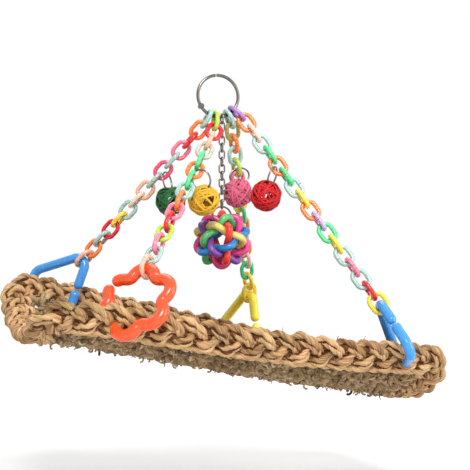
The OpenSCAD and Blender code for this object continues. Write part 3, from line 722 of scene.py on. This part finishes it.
def fray_tree():
    """Bent fibres that stand on the start mesh, more of them where it faces down."""
    tree, given = shape_tree("frayed grass", [
        ("Density", "Float"), ("Under Share", "Float"), ("Loop Radius", "Float"), ("Loop Sweep", "Float"),
        ("Fibre Thickness", "Float"), ("Seed", "Int"), ("Straw", "Material")])
    normal = node(tree, "GeometryNodeInputNormal").outputs[0]
    facing_up = node(tree, "ShaderNodeSeparateXYZ", {0: normal}).outputs[2]
    under = math_of(tree, "MAXIMUM", times(tree, facing_up, -1.0), 0.0)
    share = plus(tree, times(tree, under, given["Under Share"]), minus(tree, 1.0, given["Under Share"]))
    wanted = times(tree, given["Density"], share)
    sown = node(tree, "GeometryNodeDistributePointsOnFaces", {
        "Mesh": given["Geometry"], "Density": wanted, "Seed": given["Seed"]}).outputs
    loop = node(tree, "GeometryNodeCurveArc", {
        "Resolution": 7, "Radius": given["Loop Radius"], "Start Angle": 0.0,
        "Sweep Angle": given["Loop Sweep"]})
    to_root = node(tree, "ShaderNodeCombineXYZ", {0: times(tree, given["Loop Radius"], -1.0)})
    rooted = node(tree, "GeometryNodeTransform", {
        "Geometry": loop.outputs[0], "Translation": to_root.outputs[0], "Rotation": (math.pi / 2, 0, 0)})
    section = round_section(tree, 4, given["Fibre Thickness"])
    fibre = tube(tree, rooted.outputs[0], section, **{"Fill Caps": True})
    least, most = (-FIBRE_LEAN, -FIBRE_LEAN, 0.0), (FIBRE_LEAN, FIBRE_LEAN, FIBRE_SPIN)
    spin = random_vector(tree, given["Seed"], least, most)
    turn = node(tree, "FunctionNodeRotateRotation", {
        "Rotation": sown["Rotation"], "Rotate By": spin}, rotation_space="LOCAL")
    size = random_number(tree, plus(tree, given["Seed"], 5.0), FIBRE_SMALLEST, FIBRE_LARGEST)
    laid = node(tree, "GeometryNodeInstanceOnPoints", {
        "Points": sown["Points"], "Instance": fibre, "Rotation": turn.outputs[0], "Scale": size})
    tone = random_number(tree, plus(tree, given["Seed"], 9.0))
    return end_tree(tree, stored(tree, laid.outputs[0], "tone", tone, "INSTANCE"), given["Straw"])


frayed_grass = fray_tree()
# Name, the piece it grows on, fibres to a square metre, share of them that needs a face turned down, bend
# radius in millimetres, bend in radians, thickness in millimetres and seed
for name, source, density, under, radius, sweep, thick, seed in (
    ("mat_loops", mat, 24000.0, 0.85, 2.1, 2.5, 1.5, 11),
    ("mat_fibres", mat, 9000.0, 0.6, 2.6, 1.5, 0.7, 12),
    ("border_fibres", border, 1300.0, 0.3, 3.8, 1.1, 0.5, 13),
):
    fibres = grown(name, frayed_grass, source.data.copy(), **{
        "Density": density,
        "Under Share": under,
        "Loop Radius": radius * MM,
        "Loop Sweep": sweep,
        "Fibre Thickness": thick * MM,
        "Seed": seed,
        "Straw": SCRUFF,
    })
    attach(fibres, "net")

# Ball of six woven hoops

BALL_R, HOOP_D, HOOP_WAVE, HOOP_WAVES = 17.2, 5.4, 3.3, 5.0
# Degrees from one hoop to the next, and from a hoop's start to its first outward wave
HOOPS_APART, HOOP_TURN = 72, 18
HOOP_ROUGH, HOOP_CLOUDY = 0.3, 0.12
HOOP_COLOURS = {
    "red": (0.82, 0.035, 0.02),
    "green": (0.09, 0.5, 0.16),
    "purple": (0.19, 0.05, 0.33),
    "yellow": (0.8, 0.66, 0.17),
    "pink": (0.85, 0.06, 0.3),
    "blue": (0.008, 0.21, 0.55),
}


def middle_of(*names):
    """Middle of round solids, from their points."""
    points = [tuple(v.co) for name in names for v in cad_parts[name].data.vertices]
    return Vector(np.mean(points, axis=0))


def hoop_tree():
    """A hoop that waves in and out, so that it passes over and under its neighbours."""
    tree, given = shape_tree("weaving hoop", [
        ("Radius", "Float"), ("Wave", "Float"), ("Waves", "Float"), ("Turn", "Float"),
        ("Thickness", "Float"), ("Vinyl", "Material")])
    place, parts = place_of(tree)
    angle = minus(tree, math_of(tree, "ARCTAN2", parts[1], parts[0]), given["Turn"])
    wave = math_of(tree, "COSINE", times(tree, angle, given["Waves"]))
    reach = plus(tree, given["Radius"], times(tree, given["Wave"], wave))
    woven = moved_to(tree, circle(tree, 90, 1.0), scaled(tree, place, reach))
    hoop = tube(tree, woven, round_section(tree, 20, given["Thickness"]))
    return end_tree(tree, hoop, given["Vinyl"])


weaving_hoop = hoop_tree()
ball_mid = middle_of(*("ball_hoop_" + shade for shade in HOOP_COLOURS))
# Half the angle between the poles of neighbouring hoops
half_apart = math.atan(2) / 2
flip = Matrix.Rotation(math.pi, 4, Vector((math.sin(half_apart), 0, math.cos(half_apart))))
upright = Matrix.Translation(ball_mid) @ Matrix.Rotation(math.radians(-90), 4, "Y")
for k, (shade, colour) in enumerate(HOOP_COLOURS.items()):
    place = upright @ Matrix.Rotation(math.radians(HOOPS_APART * k - HOOP_TURN), 4, "Z")
    if k:
        place = place @ flip
    hoop = grown("woven_hoop_" + shade, weaving_hoop, bpy.data.meshes.new(shade), place, **{
        "Radius": BALL_R * MM,
        "Wave": HOOP_WAVE * MM,
        "Waves": HOOP_WAVES,
        "Turn": math.radians(HOOP_TURN),
        "Thickness": HOOP_D * MM,
        "Vinyl": moulded_plastic(shade + " hoop vinyl", colour, HOOP_ROUGH, HOOP_CLOUDY),
    })
    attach(hoop, "woven_ball")
    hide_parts("ball_hoop_" + shade)

# Wicker balls of bent cane

WICKER_R, CANE_W, CANE_T, CANES, FIRST_SEED = 11.7, 2.0, 1.4, 26, 21
INNERMOST, OUTERMOST = 0.86, 1.0
WICKER = {
    "green": (0.012, 0.13, 0.03),
    "yellow": (0.85, 0.48, 0.03),
    "pink": (0.85, 0.16, 0.28),
    "red": (0.66, 0.008, 0.014),
}


def wicker_tree():
    """Flat bands of cane round a ball, each turned its own way."""
    tree, given = shape_tree("wicker ball", [
        ("Ball Radius", "Float"), ("Cane Width", "Float"), ("Cane Thickness", "Float"), ("Canes", "Int"),
        ("Seed", "Int"), ("Cane", "Material")])
    flatness = node(tree, "ShaderNodeCombineXYZ", {
        "X": given["Cane Thickness"], "Y": given["Cane Width"], "Z": 1.0}).outputs[0]
    flat = node(tree, "GeometryNodeTransform", {"Geometry": circle(tree, 8, 0.5), "Scale": flatness})
    band = tube(tree, circle(tree, 44, given["Ball Radius"]), flat.outputs[0])
    seats = node(tree, "GeometryNodePoints", {"Count": given["Canes"]})
    pole = random_vector(tree, given["Seed"], (-1.0, -1.0, -1.0), (1.0, 1.0, 1.0))
    turn = node(tree, "FunctionNodeAlignRotationToVector", {"Vector": pole}, axis="Z")
    size = random_number(tree, given["Seed"], INNERMOST, OUTERMOST)
    laid = node(tree, "GeometryNodeInstanceOnPoints", {
        "Points": seats.outputs[0], "Instance": band, "Rotation": turn.outputs[0], "Scale": size})
    tone = random_number(tree, plus(tree, given["Seed"], 3.0))
    return end_tree(tree, stored(tree, laid.outputs[0], "tone", tone, "INSTANCE"), given["Cane"])


wicker_ball = wicker_tree()
for k, (shade, colour) in enumerate(WICKER.items()):
    place = Matrix.Translation(middle_of("wicker_ball_" + shade))
    ball = grown("wicker_canes_" + shade, wicker_ball, bpy.data.meshes.new(shade), place, **{
        "Ball Radius": WICKER_R * MM,
        "Cane Width": CANE_W * MM,
        "Cane Thickness": CANE_T * MM,
        "Canes": CANES,
        "Seed": FIRST_SEED + k,
        "Cane": dyed_cane(shade + " dyed cane", colour),
    })
    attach(ball, "wicker_" + shade)
    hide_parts("wicker_ball_" + shade)

# Floor and background. The floor glows to white away from the object, and keeps its shadow near it.

FLOOR_BELOW, FLOOR_HALF = 0.06, 9
GLOW_FROM, GLOW_TO, NEAR_GLOW, FAR_GLOW = 0.45, 1.6, 0.2, 0.7
WORLD_LIGHT = 0.28
WHITE = (1, 1, 1, 1)

floor_z = cad_box[0][2] - FLOOR_BELOW
corners = [(x * FLOOR_HALF, y * FLOOR_HALF, floor_z) for x, y in ((-1, -1), (1, -1), (1, 1), (-1, 1))]
floor_mesh = bpy.data.meshes.new("floor")
floor_mesh.from_pydata(corners, [], [(0, 1, 2, 3)])
floor = bpy.data.objects.new("floor", floor_mesh)
scene.collection.objects.link(floor)


def seen_share(tree):
    """1 for what the camera sees, straight or in a mirror or through something clear, and 0 for light."""
    path = node(tree, "ShaderNodeLightPath").outputs
    seen = math_of(tree, "MAXIMUM", path["Is Camera Ray"], path["Is Glossy Ray"])
    return math_of(tree, "MAXIMUM", seen, path["Is Transmission Ray"])


paper, tree, shader = new_finish("pale paper floor", Base_Color=(0.9, 0.9, 0.9, 1))
tree.links.new(spread(tree, grain(tree, 60, 2), 0.85, 0.95), shader.inputs["Roughness"])
floor_place = node(tree, "ShaderNodeTexCoord").outputs["Object"]
distance = node(tree, "ShaderNodeVectorMath", {0: floor_place}, operation="LENGTH").outputs["Value"]
strength = node(tree, "ShaderNodeMapRange", {
    "Value": distance, "From Min": GLOW_FROM, "From Max": GLOW_TO, "To Min": NEAR_GLOW, "To Max": FAR_GLOW})
glow = node(tree, "ShaderNodeEmission", {"Color": WHITE, "Strength": strength.outputs[0]})
both = node(tree, "ShaderNodeAddShader", {0: shader.outputs[0], 1: glow.outputs[0]})
shown = node(tree, "ShaderNodeMixShader", {0: seen_share(tree), 1: shader.outputs[0], 2: both.outputs[0]})
tree.links.new(shown.outputs[0], tree.nodes["Material Output"].inputs["Surface"])
floor_mesh.materials.append(paper)

world = bpy.data.worlds.new("studio")
scene.world = world
world.use_nodes = True
tree = world.node_tree
lit = node(tree, "ShaderNodeBackground", {"Color": WHITE, "Strength": WORLD_LIGHT})
plain = node(tree, "ShaderNodeBackground", {"Color": WHITE, "Strength": 1.0})
sky = node(tree, "ShaderNodeMixShader", {0: seen_share(tree), 1: lit.outputs[0], 2: plain.outputs[0]})
tree.links.new(sky.outputs[0], tree.nodes["World Output"].inputs["Surface"])

# Light

LIT_POINT = Vector((0, 0, -0.15))


def soft_box(name, place, size, power):
    """A square lamp that faces the object, with its size in metres and its power in watts."""
    lamp = bpy.data.lights.new(name, "AREA")
    lamp.size = size
    lamp.energy = power
    made = bpy.data.objects.new(name, lamp)
    made.location = place
    made.rotation_euler = (LIT_POINT - Vector(place)).to_track_quat("-Z", "Y").to_euler()
    scene.collection.objects.link(made)


soft_box("key", (-0.35, -1.35, 0.95), 0.6, 26)
soft_box("fill", (1.2, -0.9, 0.3), 1.0, 11)
soft_box("top", (0.1, 0.5, 1.2), 1.0, 9)

# Camera

CAMERA_PLACE, CAMERA_BEARING, CAMERA_PITCH = (-0.2656, -0.860, -0.175), 18, 3.3
LENS, SENSOR = 89.5, 36.0

view = bpy.data.objects.new("camera", bpy.data.cameras.new("camera"))
scene.collection.objects.link(view)
view.location = CAMERA_PLACE
bearing, pitch = math.radians(CAMERA_BEARING), math.radians(CAMERA_PITCH)
level = math.cos(pitch)
forward = Vector((math.sin(bearing) * level, math.cos(bearing) * level, math.sin(pitch)))
view.rotation_euler = forward.to_track_quat("-Z", "Y").to_euler()
view.data.lens = LENS
view.data.sensor_width = SENSOR
view.data.sensor_fit = "HORIZONTAL"
view.data.clip_start = 0.01
scene.camera = view
scene.view_settings.view_transform = "Standard"
